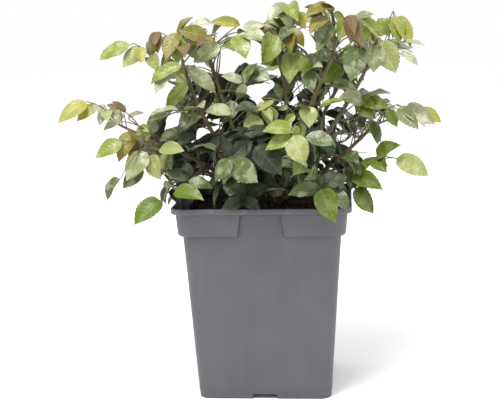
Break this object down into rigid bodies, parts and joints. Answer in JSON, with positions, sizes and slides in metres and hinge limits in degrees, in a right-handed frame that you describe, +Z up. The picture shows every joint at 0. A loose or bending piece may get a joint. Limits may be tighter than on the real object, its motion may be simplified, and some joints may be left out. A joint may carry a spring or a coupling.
{
  "type": "potted rose bush",
  "caption": "Leafy rose bush in a square nursery pot: canes rise from a graft in compost to an open, spreading crown of compound leaves.",
  "frame": {"origin": "centre of the pot's flat underside, on the ground", "axes": "+Z up, +X to the right and +Y away from the viewer in the picture's front view; the pot's sides are square to X and Y"},
  "size_m": [0.3954, 0.3475, 0.4034],
  "materials": {
    "pot": "satin",
    "compost": "crumbly",
    "stock": "bark",
    "cane": "smooth bark",
    "foliage": "leaf"
  },
  "bodies": {
    "root": {"cane_back": "cane", "cane_back_left": "cane", "cane_back_right": "cane", "cane_far_right": "cane", "cane_front_left": "cane", "cane_front_right": "cane", "cane_left": "cane", "cane_left_back": "cane", "cane_low_left": "cane", "cane_low_right": "cane", "cane_middle": "cane", "cane_right": "cane", "graft_stock": "stock", "leaves_back_left_foot": "foliage", "leaves_back_left_low": "foliage", "leaves_back_left_side": "foliage", "leaves_back_left_top": "foliage", "leaves_back_low": "foliage", "leaves_back_right_foot": "foliage", "leaves_back_right_low": "foliage", "leaves_back_right_side": "foliage", "leaves_back_right_top": "foliage", "leaves_back_side": "foliage", "leaves_back_top": "foliage", "leaves_far_right_side": "foliage", "leaves_far_right_top": "foliage", "leaves_front_left_low": "foliage", "leaves_front_left_side": "foliage", "leaves_front_left_top": "foliage", "leaves_front_right_low": "foliage", "leaves_front_right_side": "foliage", "leaves_front_right_top": "foliage", "leaves_left_back_front": "foliage", "leaves_left_back_side": "foliage", "leaves_left_back_top": "foliage", "leaves_left_low": "foliage", "leaves_left_side": "foliage", "leaves_left_top": "foliage", "leaves_left_top_side": "foliage", "leaves_low_left_foot": "foliage", "leaves_low_left_side": "foliage", "leaves_low_left_tip": "foliage", "leaves_low_right_foot": "foliage", "leaves_low_right_side": "foliage", "leaves_low_right_tip": "foliage", "leaves_middle_low": "foliage", "leaves_middle_side": "foliage", "leaves_middle_top": "foliage", "leaves_right_low": "foliage", "leaves_right_side": "foliage", "leaves_right_top": "foliage", "pot": "pot", "soil": "compost"}
  },
  "joints": []
}
